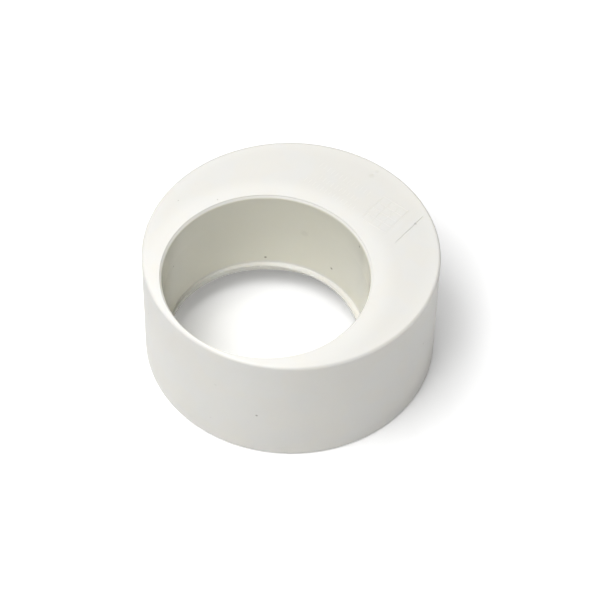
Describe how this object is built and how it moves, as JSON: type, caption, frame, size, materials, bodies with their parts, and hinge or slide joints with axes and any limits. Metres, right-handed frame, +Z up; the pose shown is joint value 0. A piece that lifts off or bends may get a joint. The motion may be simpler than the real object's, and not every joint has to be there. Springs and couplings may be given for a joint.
{
  "type": "eccentric pipe reducer",
  "caption": "Eccentric reducing bush: a short round spigot with a flat face, an off-centre pipe socket with an inner stop, and a cored, ribbed underside.",
  "frame": {"origin": "centre of the spigot's open end, on the spigot's axis", "axes": "+Z up the spigot's axis to the flat face and the socket's mouth; +X from the socket's axis to the wide side of the face"},
  "size_m": [0.11, 0.11, 0.0511],
  "materials": {
    "pvc": "satin moulded PVC-U, warm white"
  },
  "bodies": {
    "root": {"reducer_bush": "pvc"}
  },
  "joints": []
}
